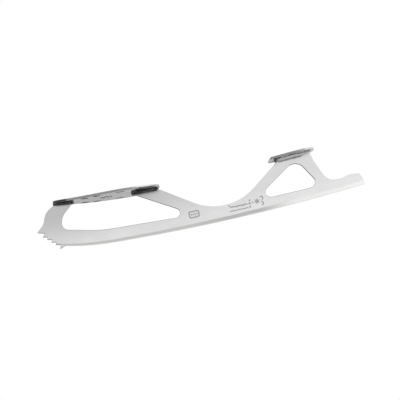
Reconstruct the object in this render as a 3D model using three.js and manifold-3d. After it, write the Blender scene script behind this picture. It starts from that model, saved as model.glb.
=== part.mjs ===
// Figure-skate blade, toe towards -X, heel towards +X, +Z up, millimetres.
// One flat steel runner stands on edge. Its three stanchions are brazed into three cups,
// and the cups are brazed under a sole plate and a heel plate that screw to a boot.
// The origin is under the middle of the blade's length, at the lowest point of its rocker.

import * as THREE from "three";
import { mergeVertices } from "three/addons/utils/BufferGeometryUtils.js";
import { ConvexGeometry } from "three/addons/geometries/ConvexGeometry.js";
import Module from "manifold-3d";

const wasm = await Module();
wasm.setup();

// ---- Driving dimensions ----

// Lengths along the blade, toe to tail
const pickReach = 21.9; // top toe pick ahead of the sole plate
const soleLength = 111.4;
const waistGap = 118.9; // between the plates
const heelLength = 48.1;
const tailReach = 44.5; // tail behind the heel plate

// Runner blank
const runnerThickness = 4;
const rockerRadius = 2134; // the skating edge, a 7 ft rocker
const spinRadius = 260; // the tighter curve under the toe
const spinLength = 47.4;
const dragPickBack = 25.5; // from the top pick back to where the edge meets the drag pick
const railHeight = 14.6; // steel left under the cut-outs
const tailHeight = 20.2;
const saddleRadius = 57;
const saddleCorner = [5.3, 3.4]; // where the saddle's two slopes would meet, from mid-waist

// Toe picks, each place measured from the top pick's tip in X and from the ice in Z
const topPickHeight = 28;
const topPickNotch = [7.3, 25.9];
const firstPickTip = [15.9, 11.8];
const pickCount = 4;
const pickStep = [-3.8, 3.53];
const pickNotch = [0.9, 2.8]; // from a pick's tip to the notch above it
const dragPickTip = [19.4, 6.9];
const dragPickRoot = [20.6, 11.4];

// Sole plate
const soleThickness = 2.4;
const soleHeight = 49.6; // top face at the rear end
const solePitch = 0.048; // rise per mm towards the toe
const toeSpringLength = 46;
const toeSpringRadius = 560;
const soleBallBack = 37.4; // widest place, from the rear end
const soleBallHalf = 36;
const soleToeHalf = 6;
const soleRearHalf = 19;

// Heel plate
const heelThickness = 2.3;
const heelHeight = 53.35; // top face at the front end
const heelPitch = 0.04; // rise per mm towards the tail
const heelWidestBack = 24.7; // from the front end
const heelFrontHalf = 18.5;
const heelHalf = 22;
const heelCornerRadius = 3;

// Cups: how far each end stands inside its plate's end, or how long the cup is; the lengths
// of its two tapering noses; its half width at the front, middle and rear; its height at the
// front and rear; how much of each end its slot leaves whole, where openEnd lets the slot run
// out; and how far the top of the stanchion carries on behind it
const fitGap = 0.3;
const cupFlankInset = 1.5;
const clear = 1; // how far a cutter runs past what it cuts
const openEnd = -2 * clear;
const cups = {
  toe: { inFront: -0.6, length: 22.2, noses: [5.1, 8.1], halves: [5.2, 9, 1.6] },
  ball: { inRear: 2, length: 28, noses: [8, 5.8], halves: [2.4, 10, 7] },
  heel: { inFront: 4.7, inRear: 11.8, noses: [7.5, 9.5], halves: [2.4, 8, 5] },
};
Object.assign(cups.toe, { heights: [2, 2], slotEnds: [openEnd, 2.6], tangPast: 0 });
Object.assign(cups.ball, { heights: [2.7, 1.7], slotEnds: [3.6, openEnd], tangPast: 1.4 });
Object.assign(cups.heel, { heights: [2.4, 2.4], slotEnds: [1.6, openEnd], tangPast: 7.4 });

// Braze beads
const beadLeg = 1.2;
const beadEndMargin = 2.2;

// Screw holes, in pairs: each pair's distance from the plate's front or rear end, and how far
// each hole's centre stays inside the plate's edge
const screwRadius = 2.3;
const sinkRadius = 4.2;
const sinkDepth = 1.7;
const slotLength = 9;
const slotRadius = 2.2;
const soleHoles = [
  { fromFront: 33, inset: 7.5 },
  { fromFront: 45.5, inset: 7 },
  { fromRear: 12.4, inset: 10 },
];
const soleSlots = [{ fromRear: 41.4, inset: 8.3 }];
const heelHoles = [
  { fromFront: 7.2, inset: 6 },
  { fromRear: 8.9, inset: 6.4 },
];
const heelSlots = [{ fromFront: 23.2, inset: 6.4 }];

// Outline accuracy
const arcSteps = 7;
const bendSteps = 24;

// ---- Places and heights that follow from the dimensions ----

const bladeLength = pickReach + soleLength + waistGap + heelLength + tailReach;
const tipX = -bladeLength / 2;
const soleToeX = tipX + pickReach;
const soleRearX = soleToeX + soleLength;
const heelFrontX = soleRearX + waistGap;
const heelRearX = heelFrontX + heelLength;
const tailX = heelRearX + tailReach;
const soleBallX = soleRearX - soleBallBack;
const soleBendX = soleToeX + toeSpringLength;
const heelWidestX = heelFrontX + heelWidestBack;
const spinEndX = tipX + dragPickBack;
const spinStartX = spinEndX + spinLength;

const soleTop = (x) => {
  const pastBend = Math.max(0, soleBendX - x);
  return soleHeight + solePitch * (soleRearX - x) + pastBend ** 2 / (2 * toeSpringRadius);
};
const heelTop = (x) => heelHeight + heelPitch * (x - heelFrontX);
const soleSeat = (x) => soleTop(x) - soleThickness - fitGap;
const heelSeat = (x) => heelTop(x) - heelThickness - fitGap;
const rockerZ = (x) => rockerRadius - Math.sqrt(rockerRadius ** 2 - x ** 2);

// Each cup's ends, its seat under the plate, and the slot that the stanchion stands in
const spans = {
  toe: { ...cups.toe, x0: soleToeX + cups.toe.inFront, seat: soleSeat },
  ball: { ...cups.ball, x1: soleRearX - cups.ball.inRear, seat: soleSeat },
  heel: { ...cups.heel, x0: heelFrontX + cups.heel.inFront, seat: heelSeat },
};
spans.toe.x1 = spans.toe.x0 + cups.toe.length;
spans.ball.x0 = spans.ball.x1 - cups.ball.length;
spans.heel.x1 = heelRearX - cups.heel.inRear;
for (const span of Object.values(spans)) {
  const rims = [span.seat(span.x0) - span.heights[0], span.seat(span.x1) - span.heights[1]];
  span.slope = (rims[1] - rims[0]) / (span.x1 - span.x0);
  span.rim = (x) => rims[0] + span.slope * (x - span.x0);
  span.slotFrom = span.x0 + span.slotEnds[0];
  span.slotTo = span.x1 - span.slotEnds[1];
  span.tangFront = Math.max(span.x0, span.slotFrom + fitGap);
  span.tangRear = Math.min(span.x1, span.slotTo - fitGap);
}

// ---- Helpers ----

// A closed mesh as a solid that can be cut and joined.
function solid(geometry) {
  const bare = geometry.clone();
  bare.deleteAttribute("normal");
  bare.deleteAttribute("uv");
  const merged = mergeVertices(bare, 1e-4);
  return new wasm.Manifold(
    new wasm.Mesh({
      numProp: 3,
      vertProperties: merged.attributes.position.array,
      triVerts: new Uint32Array(merged.index.array),
    }),
  );
}

function geometryOf(body) {
  const { vertProperties, triVerts } = body.getMesh();
  const geometry = new THREE.BufferGeometry();
  geometry.setAttribute("position", new THREE.BufferAttribute(vertProperties, 3));
  geometry.setIndex(new THREE.BufferAttribute(triVerts, 1));
  geometry.computeVertexNormals();
  return geometry;
}

function cut(body, tools) {
  return tools.reduce((rest, tool) => rest.subtract(solid(tool)), body);
}

// A side-view shape (x, z) made into a slab standing on edge, centred on Y = 0.
function standing(shape, width) {
  const slab = new THREE.ExtrudeGeometry(shape, {
    depth: width,
    bevelEnabled: false,
    curveSegments: arcSteps,
  });
  return slab.translate(0, 0, -width / 2).rotateX(Math.PI / 2);
}

// Straight stretches joined by tangent arcs: each corner is [x, z, radius].
// Two arcs that would meet on a short stretch are both made small enough to fit it.
function filletedLine(path, corners) {
  const points = corners.map(([x, z]) => new THREE.Vector2(x, z));
  const bends = points.slice(1, -1).map((corner, i) => {
    const before = points[i].clone().sub(corner).normalize();
    const after = points[i + 2].clone().sub(corner).normalize();
    const halfAngle = Math.acos(before.dot(after)) / 2;
    const radius = corners[i + 1][2] ?? 0;
    return { corner, before, after, halfAngle, reach: radius / Math.tan(halfAngle), share: 1 };
  });
  for (let i = 0; i <= bends.length; i += 1) {
    const sides = [bends[i - 1], bends[i]].filter(Boolean);
    const wanted = sides.reduce((sum, bend) => sum + bend.reach, 0);
    const room = points[i].distanceTo(points[i + 1]);
    for (const bend of sides) {
      bend.share = Math.min(bend.share, room / wanted);
    }
  }
  for (const { corner, before, after, halfAngle, reach, share } of bends) {
    const start = corner.clone().addScaledVector(before, reach * share);
    if (reach === 0) {
      path.lineTo(start.x, start.y);
      continue;
    }
    const radius = reach * share * Math.tan(halfAngle);
    const middle = before.clone().add(after).normalize();
    const centre = corner.clone().addScaledVector(middle, radius / Math.sin(halfAngle));
    const end = corner.clone().addScaledVector(after, reach * share).sub(centre);
    start.sub(centre);
    path.absarc(centre.x, centre.y, radius, start.angle(), end.angle(), start.cross(end) < 0);
  }
  const last = points[points.length - 1];
  path.lineTo(last.x, last.y);
}

// ---- Runner ----

// The edge is the rocker's arc and, under the toe, a tighter arc tangent to it.
function edge(outline) {
  const down = -Math.PI / 2;
  const tangentAngle = Math.asin(spinStartX / rockerRadius);
  const spinX = spinStartX - spinRadius * Math.sin(tangentAngle);
  const spinZ = rockerZ(spinStartX) + spinRadius * Math.cos(tangentAngle);
  const spinEndAngle = Math.asin((spinEndX - spinX) / spinRadius);
  const tailAngle = Math.asin(tailX / rockerRadius);
  outline.absarc(spinX, spinZ, spinRadius, down + spinEndAngle, down + tangentAngle, false);
  outline.absarc(0, rockerRadius, rockerRadius, down + tangentAngle, down, false);
  outline.absarc(0, rockerRadius, rockerRadius, down, down + tailAngle, false);
}

// The part of a stanchion that stands inside its cup, rear side to front side.
function tang({ tangFront, tangRear, tangPast, seat, rim }) {
  const rear = tangRear + tangPast;
  return [
    [rear, rim(rear)],
    [rear, seat(rear)],
    [tangFront, seat(tangFront)],
    [tangFront, rim(tangFront)],
  ];
}

function runnerOutline() {
  const outline = new THREE.Shape();
  edge(outline);
  const saddle = [(soleRearX + heelFrontX) / 2 + saddleCorner[0], saddleCorner[1], saddleRadius];
  filletedLine(outline, [
    // tail
    [tailX, rockerZ(tailX)],
    [tailX, rockerZ(tailX) + 5.2, 14],
    [tailX - 3, tailHeight - 0.7, 3.2],
    [tailX - 14, tailHeight + 0.2, 18],
    [tailX - 22.4, tailHeight - 2.2, 18],
    // rear of the heel stanchion, its tang, and the saddle
    [heelRearX + 7.4, tailHeight - 2, 14],
    [heelRearX - 3.2, heelSeat(heelRearX) - 9.3, 32],
    ...tang(spans.heel),
    saddle,
    [soleRearX + 1, soleSeat(soleRearX) - 1.3],
    ...tang(spans.ball),
    // front cut-out
    [soleRearX + 31, railHeight - 2, 5],
    [soleToeX + 44, railHeight + 2.2, 150],
    [soleToeX + 4.4, railHeight + 11.2, 8.4],
    [soleToeX + 5.1, soleSeat(soleToeX) - 15.5, 20],
    ...tang(spans.toe),
    // front of the toe stanchion
    [tipX + 12, soleSeat(soleToeX) - 7.5, 16],
    [tipX + 7.4, topPickHeight + 6.8, 11],
    [tipX, topPickHeight + 0.6],
  ]);

  // toe picks, from the top one down to the drag pick
  const pickPoint = ([back, height]) => outline.lineTo(tipX + back, height);
  pickPoint([0, topPickHeight]);
  pickPoint(topPickNotch);
  for (let i = pickCount - 1; i >= 0; i -= 1) {
    const tip = [firstPickTip[0] + i * pickStep[0], firstPickTip[1] + i * pickStep[1]];
    if (i < pickCount - 1) {
      pickPoint([tip[0] + pickNotch[0], tip[1] + pickNotch[1]]);
    }
    pickPoint(tip);
  }
  pickPoint(dragPickRoot);
  pickPoint(dragPickTip);
  return outline;
}

// The window between the heel stanchion's two legs.
function heelWindow() {
  const start = [(heelFrontX + heelRearX) / 2, railHeight];
  const top = [start[0] + 3.2, heelSeat(start[0]) - 4.2, 11];
  const window = new THREE.Shape();
  window.moveTo(...start);
  filletedLine(window, [
    start,
    [heelRearX - 1.1, railHeight + 0.9, 6.2],
    top,
    [heelFrontX - 24.7, railHeight - 0.9, 5.5],
    start,
  ]);
  return window;
}

function runner() {
  const blank = runnerOutline();
  blank.holes.push(heelWindow());
  return geometryOf(solid(standing(blank, runnerThickness)));
}

// ---- Plates ----

// One edge of each plate, from its front end to its rear end, as curves on the +Y side.
function soleEdge() {
  const side = new THREE.CurvePath();
  const place = (x, y) => new THREE.Vector2(x, y);
  const toe = place(soleToeX, soleToeHalf * 0.6);
  const shoulder = place(soleToeX + 9, soleToeHalf + 9);
  const ball = place(soleBallX, soleBallHalf);
  const rear = place(soleRearX, soleRearHalf);
  const toeBend = [place(soleToeX, soleToeHalf), place(soleToeX + 3, soleToeHalf + 5.5)];
  const flare = [place(soleToeX + 24, soleToeHalf + 17), place(soleBallX - 22, soleBallHalf)];
  const taper = [place(soleBallX + 18, soleBallHalf), place(soleRearX - 1, soleRearHalf + 10)];
  side.add(new THREE.CubicBezierCurve(toe, ...toeBend, shoulder));
  side.add(new THREE.CubicBezierCurve(shoulder, ...flare, ball));
  side.add(new THREE.CubicBezierCurve(ball, ...taper, rear));
  return side;
}

function heelEdge() {
  const side = new THREE.CurvePath();
  const widest = new THREE.Vector2(heelWidestX, heelHalf);
  const front = new THREE.Path().moveTo(heelFrontX, clear);
  filletedLine(front, [
    [heelFrontX, clear],
    [heelFrontX, heelFrontHalf, heelCornerRadius],
    [heelWidestX, heelHalf],
  ]);
  front.curves.forEach((curve) => side.add(curve));
  const rear = [new THREE.Vector2(heelWidestX + 20, heelHalf), new THREE.Vector2(heelRearX, heelHalf - 6)];
  side.add(new THREE.CubicBezierCurve(widest, ...rear, new THREE.Vector2(heelRearX, clear)));
  return side;
}

// The whole outline: one edge, and the same edge mirrored and run backwards.
function mirroredOutline(points) {
  const otherSide = points.map((p) => new THREE.Vector2(p.x, -p.y)).reverse();
  return new THREE.Shape([...points, ...otherSide]);
}

function halfWidthAt(points, x) {
  const after = points.findIndex((p) => p.x >= x);
  const [a, b] = [points[after - 1], points[after]];
  return a.y + ((b.y - a.y) * (x - a.x)) / (b.x - a.x);
}

// Moves a tool made around the origin to a plate's underside, square to the plate.
function placeUnder(tool, x, y, under) {
  const slope = (under(x + clear) - under(x - clear)) / (2 * clear);
  return tool.rotateY(-Math.atan(slope)).translate(x, y, under(x));
}

function screwHole(x, y, under, thickness) {
  const bore = new THREE.CylinderGeometry(screwRadius, screwRadius, 4 * thickness, 32);
  const flare = (sinkRadius - screwRadius) / sinkDepth;
  const sink = new THREE.CylinderGeometry(screwRadius, sinkRadius + flare * clear, sinkDepth + clear, 32);
  sink.translate(0, (sinkDepth - clear) / 2, 0);
  return [bore, sink].map((tool) => placeUnder(tool.rotateX(Math.PI / 2), x, y, under));
}

function adjustingSlot(x, y, under, thickness) {
  const half = slotLength / 2 - slotRadius;
  const slot = new THREE.Shape();
  slot.absarc(half, 0, slotRadius, -Math.PI / 2, Math.PI / 2, false);
  slot.absarc(-half, 0, slotRadius, Math.PI / 2, 1.5 * Math.PI, false);
  const depth = 4 * thickness;
  const tool = new THREE.ExtrudeGeometry(slot, { depth, bevelEnabled: false, curveSegments: arcSteps });
  return [placeUnder(tool.translate(0, 0, -depth / 2), x, y, under)];
}

// A plate is its outline seen from above, cut to its side profile, then drilled.
function plate(edgeCurve, top, frontX, rearX, thickness, holes, slots) {
  const under = (x) => top(x) - thickness;
  const points = edgeCurve.getPoints(2 * arcSteps);
  const from = frontX - clear;
  const span = rearX + clear - from;
  const stations = Array.from({ length: bendSteps + 1 }, (_, i) => from + (span * i) / bendSteps);
  const profile = new THREE.Shape([
    ...stations.map((x) => new THREE.Vector2(x, under(x))),
    ...stations.reverse().map((x) => new THREE.Vector2(x, top(x))),
  ]);
  const column = new THREE.ExtrudeGeometry(mirroredOutline(points), {
    depth: 2 * top(from),
    bevelEnabled: false,
  });
  const drill = (list, tool) =>
    list.flatMap(({ fromFront, fromRear, inset }) => {
      const x = fromFront ? frontX + fromFront : rearX - fromRear;
      const y = halfWidthAt(points, x) - inset;
      return [...tool(x, y, under, thickness), ...tool(x, -y, under, thickness)];
    });
  const tools = [...drill(holes, screwHole), ...drill(slots, adjustingSlot)];
  return geometryOf(cut(solid(column).intersect(solid(standing(profile, 4 * soleBallHalf))), tools));
}

// ---- Cups and braze beads ----

// A boat-shaped block with sloping flanks, slotted for the stanchion.
function cup({ x0, x1, noses, halves, heights, seat, rim, slotFrom, slotTo }) {
  const inset = cupFlankInset;
  const stations = [
    [x0, halves[0], x0 + inset / 2, halves[0] - inset / 2],
    [x0 + noses[0], halves[1], x0 + noses[0] + inset / 3, halves[1] - inset],
    [x1 - noses[1], halves[1], x1 - noses[1] - inset / 3, halves[1] - inset],
    [x1, halves[2], x1 - inset / 2, halves[2] - inset / 2],
  ];
  const points = [];
  for (const [x, half, rimX, rimHalf] of stations) {
    for (const side of [1, -1]) {
      points.push(new THREE.Vector3(x, side * half, seat(x)));
      points.push(new THREE.Vector3(rimX, side * rimHalf, rim(rimX)));
    }
  }
  const slot = new THREE.BoxGeometry(slotTo - slotFrom, runnerThickness + 2 * fitGap, 6 * heights[0]);
  slot.translate((slotFrom + slotTo) / 2, 0, seat((x0 + x1) / 2));
  return geometryOf(cut(solid(new ConvexGeometry(points)), [slot]));
}

// Braze drawn into the corner between a cup's rim and the runner's side.
function bead(length) {
  const side = runnerThickness / 2;
  const section = new THREE.Shape();
  section.moveTo(side, 0);
  section.lineTo(side, -beadLeg);
  section.quadraticCurveTo(side + beadLeg / 4, -beadLeg / 4, side + fitGap + beadLeg, 0);
  const prism = new THREE.ExtrudeGeometry(section, {
    depth: length,
    bevelEnabled: false,
    curveSegments: arcSteps,
  });
  const along = new THREE.Matrix4().makeBasis(
    new THREE.Vector3(0, 1, 0),
    new THREE.Vector3(0, 0, 1),
    new THREE.Vector3(1, 0, 0),
  );
  return prism.translate(0, 0, -length / 2).applyMatrix4(along);
}

// ---- Assembly ----

const blade = new THREE.Group();

function addPiece(name, geometry, color, roughness, parent = blade) {
  const material = new THREE.MeshStandardMaterial({ color, metalness: 1, roughness });
  const mesh = new THREE.Mesh(geometry, material);
  mesh.name = name;
  parent.add(mesh);
  return mesh;
}

addPiece("runner", runner(), 0xdcdcda, 0.35);
addPiece(
  "sole_plate",
  plate(soleEdge(), soleTop, soleToeX, soleRearX, soleThickness, soleHoles, soleSlots),
  0xa9aaae,
  0.15,
);
addPiece(
  "heel_plate",
  plate(heelEdge(), heelTop, heelFrontX, heelRearX, heelThickness, heelHoles, heelSlots),
  0xadaeb1,
  0.15,
);

for (const [place, span] of Object.entries(spans)) {
  addPiece(`${place}_cup`, cup(span), 0x303133, 0.2);
  const from = span.tangFront + beadEndMargin;
  const to = span.tangRear - beadEndMargin;
  const middle = (from + to) / 2;
  const seam = new THREE.Group();
  seam.position.set(middle, 0, span.rim(middle));
  seam.rotation.y = -Math.atan(span.slope);
  blade.add(seam);
  addPiece(`${place}_braze_left`, bead(to - from), 0x9c9a94, 0.4, seam);
  addPiece(`${place}_braze_right`, bead(to - from), 0x9c9a94, 0.4, seam).rotation.z = Math.PI;
}

export default blade;
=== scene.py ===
import math
import random

import bmesh
import bpy
from mathutils import Matrix, Quaternion, Vector
from mathutils.geometry import delaunay_2d_cdt


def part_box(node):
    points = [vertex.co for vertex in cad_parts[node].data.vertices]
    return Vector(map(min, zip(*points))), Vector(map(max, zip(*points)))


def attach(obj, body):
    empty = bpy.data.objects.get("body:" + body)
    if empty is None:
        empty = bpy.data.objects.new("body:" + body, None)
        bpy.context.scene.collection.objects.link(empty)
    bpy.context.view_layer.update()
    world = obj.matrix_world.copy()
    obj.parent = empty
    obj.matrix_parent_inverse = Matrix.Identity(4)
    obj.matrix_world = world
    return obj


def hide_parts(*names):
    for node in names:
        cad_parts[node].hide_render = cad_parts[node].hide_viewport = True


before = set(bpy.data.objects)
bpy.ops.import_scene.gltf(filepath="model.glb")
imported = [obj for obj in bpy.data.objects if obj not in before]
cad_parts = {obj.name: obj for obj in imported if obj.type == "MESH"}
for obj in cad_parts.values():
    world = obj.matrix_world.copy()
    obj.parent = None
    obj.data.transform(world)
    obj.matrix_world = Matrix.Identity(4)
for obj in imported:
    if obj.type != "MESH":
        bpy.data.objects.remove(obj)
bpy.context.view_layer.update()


# ---------------------------------------------------------------------------
# Runner: one flat blank of carbon tool steel, 4 mm thick, that stands on edge.
# It is cut to shape with its three stanchions and toe picks, chrome plated and brushed,
# then ground along the skating edge, where a hollow runs between two sharp edges.

MM = 0.001


def box_mm(node):
    low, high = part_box(node)
    return low / MM, high / MM


runner_low, runner_high = box_mm("runner")
sole_low, sole_high = box_mm("sole_plate")
heel_low, heel_high = box_mm("heel_plate")
tip_x, tail_x = runner_low.x, runner_high.x
sole_front_x, sole_rear_x = sole_low.x, sole_high.x
heel_front_x, heel_rear_x = heel_low.x, heel_high.x

runner_half = runner_high.y
rocker_radius = 2134
spin_radius = 260
spin_length = 47.4
drag_pick_back = 25.5
rail_height = 14.6
tail_height = 20.2
edge_break = 0.34
honed_break = 0.04
hollow_radius = 12.7

top_pick_height = 28
top_pick_notch = (7.3, 25.9)
first_pick_tip = (15.9, 11.8)
pick_count = 4
pick_step = (-3.8, 3.53)
pick_notch = (0.9, 2.8)
drag_pick_tip = (19.4, 6.9)
drag_pick_root = (20.6, 11.4)

sole_thickness = 2.4
sole_height = 49.6
sole_pitch = 0.048
toe_spring_length = 46
toe_spring_radius = 560
heel_thickness = 2.3
heel_height = 53.35
heel_pitch = 0.04
fit_gap = 0.3

# Each cup: ends, distance from each end to its shoulder, half widths, height at both ends,
# the whole part at each end of its slot, and how far the stanchion's top goes on behind it
toe_cup = {"x0": sole_front_x - 0.6, "x1": sole_front_x + 21.6, "plate": "sole"}
toe_cup.update(noses=(5.1, 8.1), halves=(5.2, 9, 1.6), heights=(2, 2), slot=(-2, 2.6), tang_past=0)
ball_cup = {"x0": sole_rear_x - 30, "x1": sole_rear_x - 2, "plate": "sole"}
ball_cup.update(noses=(8, 5.8), halves=(2.4, 10, 7), heights=(2.7, 1.7), slot=(3.6, -2), tang_past=1.4)
heel_cup = {"x0": heel_front_x + 4.7, "x1": heel_rear_x - 11.8, "plate": "heel"}
heel_cup.update(noses=(7.5, 9.5), halves=(2.4, 8, 5), heights=(2.4, 2.4), slot=(1.6, -2), tang_past=7.4)
cups = {"toe": toe_cup, "ball": ball_cup, "heel": heel_cup}


def sole_top(x):
    past_bend = max(0, sole_front_x + toe_spring_length - x)
    return sole_height + sole_pitch * (sole_rear_x - x) + past_bend**2 / (2 * toe_spring_radius)


def heel_top(x):
    return heel_height + heel_pitch * (x - heel_front_x)


def seat_of(cup, x):
    if cup["plate"] == "sole":
        return sole_top(x) - sole_thickness - fit_gap
    return heel_top(x) - heel_thickness - fit_gap


def rim_of(cup, x):
    front = seat_of(cup, cup["x0"]) - cup["heights"][0]
    rear = seat_of(cup, cup["x1"]) - cup["heights"][1]
    return front + (rear - front) * (x - cup["x0"]) / (cup["x1"] - cup["x0"])


for cup in cups.values():
    cup["slot_x"] = (cup["x0"] + cup["slot"][0], cup["x1"] - cup["slot"][1])
    cup["tang_x"] = (
        max(cup["x0"], cup["slot_x"][0] + fit_gap),
        min(cup["x1"], cup["slot_x"][1] - fit_gap),
    )


def rocker_z(x):
    return rocker_radius - math.sqrt(rocker_radius**2 - x**2)


def arc_points(centre, radius, start, end, step):
    count = max(2, math.ceil(abs(end - start) * max(radius, 8) / step))
    angles = [start + (end - start) * i / count for i in range(count + 1)]
    return [centre + Vector((math.cos(a), math.sin(a))) * radius for a in angles]


def filleted_line(corners, step=0.9):
    """Straight stretches joined by tangent arcs; each corner is (x, z, radius)."""
    points = [Vector(corner[:2]) for corner in corners]
    bends = []
    for before, corner, after, given in zip(points, points[1:], points[2:], corners[1:]):
        back, ahead = (before - corner).normalized(), (after - corner).normalized()
        half = math.acos(max(-1, min(1, back.dot(ahead)))) / 2
        radius = given[2] if len(given) > 2 else 0
        bends.append([corner, back, ahead, half, radius / math.tan(half), 1])
    for i in range(len(bends) + 1):
        sides = bends[max(0, i - 1):i + 1]
        wanted = sum(bend[4] for bend in sides)
        if wanted:
            for bend in sides:
                bend[5] = min(bend[5], (points[i + 1] - points[i]).length / wanted)
    line = [points[0]]
    for corner, back, ahead, half, reach, share in bends:
        if not reach:
            line.append(corner)
            continue
        reach *= share
        radius = reach * math.tan(half)
        centre = corner + (back + ahead).normalized() * radius / math.sin(half)
        start, end = corner + back * reach - centre, corner + ahead * reach - centre
        a0, a1 = math.atan2(start.y, start.x), math.atan2(end.y, end.x)
        turn = (a1 - a0 + math.pi) % (2 * math.pi) - math.pi
        line += arc_points(centre, radius, a0, a0 + turn, step)
    return line + [points[-1]]


def tang(cup):
    front, rear = cup["tang_x"][0], cup["tang_x"][1] + cup["tang_past"]
    return [
        (rear, rim_of(cup, rear)),
        (rear, seat_of(cup, rear)),
        (front, seat_of(cup, front)),
        (front, rim_of(cup, front)),
    ]


def skating_edge():
    """The edge from the drag pick back to the tail: a tight arc, then the rocker."""
    down = -math.pi / 2
    spin_end = tip_x + drag_pick_back
    spin_start = spin_end + spin_length
    tangent = math.asin(spin_start / rocker_radius)
    centre = Vector((spin_start - spin_radius * math.sin(tangent),
                     rocker_z(spin_start) + spin_radius * math.cos(tangent)))
    first = down + math.asin((spin_end - centre.x) / spin_radius)
    last = down + math.asin(tail_x / rocker_radius)
    spin = arc_points(centre, spin_radius, first, down + tangent, 2)
    rocker = arc_points(Vector((0, rocker_radius)), rocker_radius, down + tangent, last, 2.5)
    return spin + rocker[1:]


edge_line = skating_edge()
shape_line = filleted_line([
    (tail_x, rocker_z(tail_x)),
    (tail_x, rocker_z(tail_x) + 5.2, 14),
    (tail_x - 3, tail_height - 0.7, 3.2),
    (tail_x - 14, tail_height + 0.2, 18),
    (tail_x - 22.4, tail_height - 2.2, 18),
    (heel_rear_x + 7.4, tail_height - 2, 14),
    (heel_rear_x - 3.2, seat_of(heel_cup, heel_rear_x) - 9.3, 32),
    *tang(heel_cup),
    ((sole_rear_x + heel_front_x) / 2 + 5.3, 3.4, 57),
    (sole_rear_x + 1, seat_of(ball_cup, sole_rear_x) - 1.3),
    *tang(ball_cup),
    (sole_rear_x + 31, rail_height - 2, 5),
    (sole_front_x + 44, rail_height + 2.2, 150),
    (sole_front_x + 4.4, rail_height + 11.2, 8.4),
    (sole_front_x + 5.1, seat_of(toe_cup, sole_front_x) - 15.5, 20),
    *tang(toe_cup),
    (tip_x + 12, seat_of(toe_cup, sole_front_x) - 7.5, 16),
    (tip_x + 7.4, top_pick_height + 6.8, 11),
    (tip_x, top_pick_height + 0.6),
])

pick_line = [
    Vector((tip_x, top_pick_height)),
    Vector((tip_x + top_pick_notch[0], top_pick_notch[1])),
]
for i in reversed(range(pick_count)):
    back, height = first_pick_tip[0] + i * pick_step[0], first_pick_tip[1] + i * pick_step[1]
    if i < pick_count - 1:
        pick_line.append(Vector((tip_x + back + pick_notch[0], height + pick_notch[1])))
    pick_line.append(Vector((tip_x + back, height)))
pick_line += [Vector((tip_x + back, height)) for back, height in (drag_pick_root, drag_pick_tip)]

window_start = ((heel_front_x + heel_rear_x) / 2, rail_height)
window_line = filleted_line([
    window_start,
    (heel_rear_x - 1.1, rail_height + 0.9, 6.2),
    (window_start[0] + 3.2, seat_of(heel_cup, window_start[0]) - 4.2, 11),
    (heel_front_x - 24.7, rail_height - 0.9, 5.5),
    window_start,
])[:-1]
window_line.reverse()

# The engraved signs are plain ornaments on the side that faces -Y, cut a tenth of a millimetre deep
engraving_depth = 0.12


def turned(points, place, angle=0):
    spin = Matrix.Rotation(angle, 2)
    return [spin @ Vector(p) + Vector(place) for p in points]


def ribbon(line, widths):
    """A closed strip along a line of points, with a width at each point."""
    left, right = [], []
    for i, point in enumerate(line):
        along = (Vector(line[min(i + 1, len(line) - 1)]) - Vector(line[max(i - 1, 0)])).normalized()
        side = Vector((-along.y, along.x)) * widths[i] / 2
        left.append(Vector(point) + side)
        right.append(Vector(point) - side)
    return right + left[::-1]


def snow_crystal(arm, waist):
    points = []
    for i in range(12):
        reach = waist if i % 2 else arm
        angle = math.pi * i / 6
        points.append((reach * math.cos(angle), reach * math.sin(angle)))
    return points


def scroll(turns, start_radius, end_radius, start_angle, count=22):
    points = []
    for i in range(count + 1):
        share = i / count
        radius = start_radius + (end_radius - start_radius) * share
        angle = start_angle + turns * 2 * math.pi * share
        points.append((radius * math.cos(angle), radius * math.sin(angle)))
    return points


def tapered(count, widest, narrowest):
    spread = widest - narrowest
    return [narrowest + spread * math.sin(math.pi * i / (count - 1)) for i in range(count)]


def rounded_box(half_width, half_height, power, count=48):
    points = []
    for i in range(count):
        angle = 2 * math.pi * i / count
        c, s = math.cos(angle), math.sin(angle)
        points.append((math.copysign(abs(c) ** (2 / power), c) * half_width,
                       math.copysign(abs(s) ** (2 / power), s) * half_height))
    return points


# A badge: a thick rounded ring round four upright lozenges
badge_place = Vector((-9.3, 13.1))
badge_tilt = 0.02
ring_outside = turned(rounded_box(5.9, 3.9, 4.5), badge_place, badge_tilt)
ring_inside = turned(rounded_box(4.5, 2.5, 4.5), badge_place, badge_tilt)
marks = [(ring_outside, [ring_inside])]
lozenge_half = 0.8
for shift, reach in ((-3.1, 1.5), (-1.05, 1.9), (1.05, 1.9), (3.1, 1.5)):
    lozenge = [(0, -reach), (lozenge_half, 0), (0, reach), (-lozenge_half, 0)]
    marks.append((turned(lozenge, badge_place + Vector((shift, 0)), badge_tilt), []))

# A sprig: a wavy stem with a hooked end, two leaves, a small crystal, a short twig, a large
# crystal and two curls, with a thin wavy line under it
sprig_place = Vector((29.3, 11.9))


def add_to_sprig(shape, shift=(0, 0), lean=0):
    marks.append((turned(shape, sprig_place + Vector(shift), lean), []))


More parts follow.
